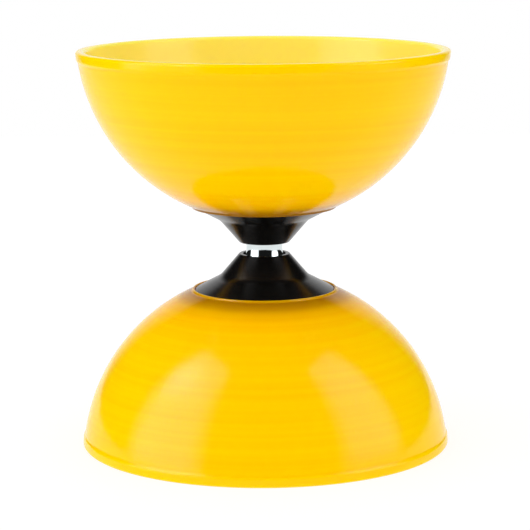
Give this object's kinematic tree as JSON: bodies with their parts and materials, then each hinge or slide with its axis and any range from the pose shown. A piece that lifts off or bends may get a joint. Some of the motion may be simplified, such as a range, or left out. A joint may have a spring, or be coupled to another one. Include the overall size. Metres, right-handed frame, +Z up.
{
  "type": "diabolo",
  "caption": "Free-running diabolo: flexible translucent bowls on black cone hubs, clamped to a spindle whose polished waisted axle sleeve carries the string.",
  "frame": {"origin": "on the spin axis, in the plane that the lower cup's rim rests on", "axes": "+Z up along the spin axis, from the lower cup to the upper cup; the object is round about it, so +X and +Y are free"},
  "size_m": [0.125, 0.125, 0.134],
  "materials": {
    "cup_urethane": "translucent yellow moulded polyurethane, glossy outside, faint turning lines",
    "hub_plastic": "glossy black moulded plastic",
    "disc_plastic": "opaque yellow moulded plastic",
    "polished_chrome": "mirror-polished chromed steel",
    "bearing_steel": "ground bearing steel",
    "shield_steel": "thin cold-rolled steel",
    "plated_steel": "bright zinc-plated steel",
    "nylon": "natural nylon",
    "cage_plastic": "glass-filled nylon"
  },
  "bodies": {
    "cups_and_spindle": {"lower_cup": "cup_urethane", "lower_hub": "hub_plastic", "lower_clamp_disc": "disc_plastic", "lower_washer": "plated_steel", "lower_lock_nut": "plated_steel", "lower_nut_insert": "nylon", "lower_bearing_inner_ring": "bearing_steel", "lower_bearing_spacer": "plated_steel", "upper_cup": "cup_urethane", "upper_hub": "hub_plastic", "upper_clamp_disc": "disc_plastic", "upper_washer": "plated_steel", "upper_lock_nut": "plated_steel", "upper_nut_insert": "nylon", "upper_bearing_inner_ring": "bearing_steel", "upper_bearing_spacer": "plated_steel", "spindle": "plated_steel"},
    "axle": {"axle_sleeve": "polished_chrome", "clutch_shell": "bearing_steel", "clutch_cage": "cage_plastic", "clutch_rollers": "bearing_steel", "clutch_springs": "shield_steel", "lower_bearing_outer_ring": "bearing_steel", "lower_bearing_shields": "shield_steel", "upper_bearing_outer_ring": "bearing_steel", "upper_bearing_shields": "shield_steel"},
    "lower_ball_set": {"lower_bearing_balls": "bearing_steel", "lower_bearing_cage": "cage_plastic"},
    "upper_ball_set": {"upper_bearing_balls": "bearing_steel", "upper_bearing_cage": "cage_plastic"}
  },
  "joints": [
    {"name": "axle_spin", "type": "hinge", "parent": "cups_and_spindle", "child": "axle", "pos_m": [0, 0, 0.067], "axis": [0, 0, 1], "continuous": true},
    {"name": "lower_balls_orbit", "type": "hinge", "parent": "cups_and_spindle", "child": "lower_ball_set", "pos_m": [0, 0, 0.0589], "axis": [0, 0, 1], "continuous": true},
    {"name": "upper_balls_orbit", "type": "hinge", "parent": "cups_and_spindle", "child": "upper_ball_set", "pos_m": [0, 0, 0.0751], "axis": [0, 0, 1], "continuous": true}
  ],
  "couplings": [
    {"joint": "lower_balls_orbit", "follows": "axle_spin", "ratio": 0.5921},
    {"joint": "upper_balls_orbit", "follows": "axle_spin", "ratio": 0.5921}
  ]
}
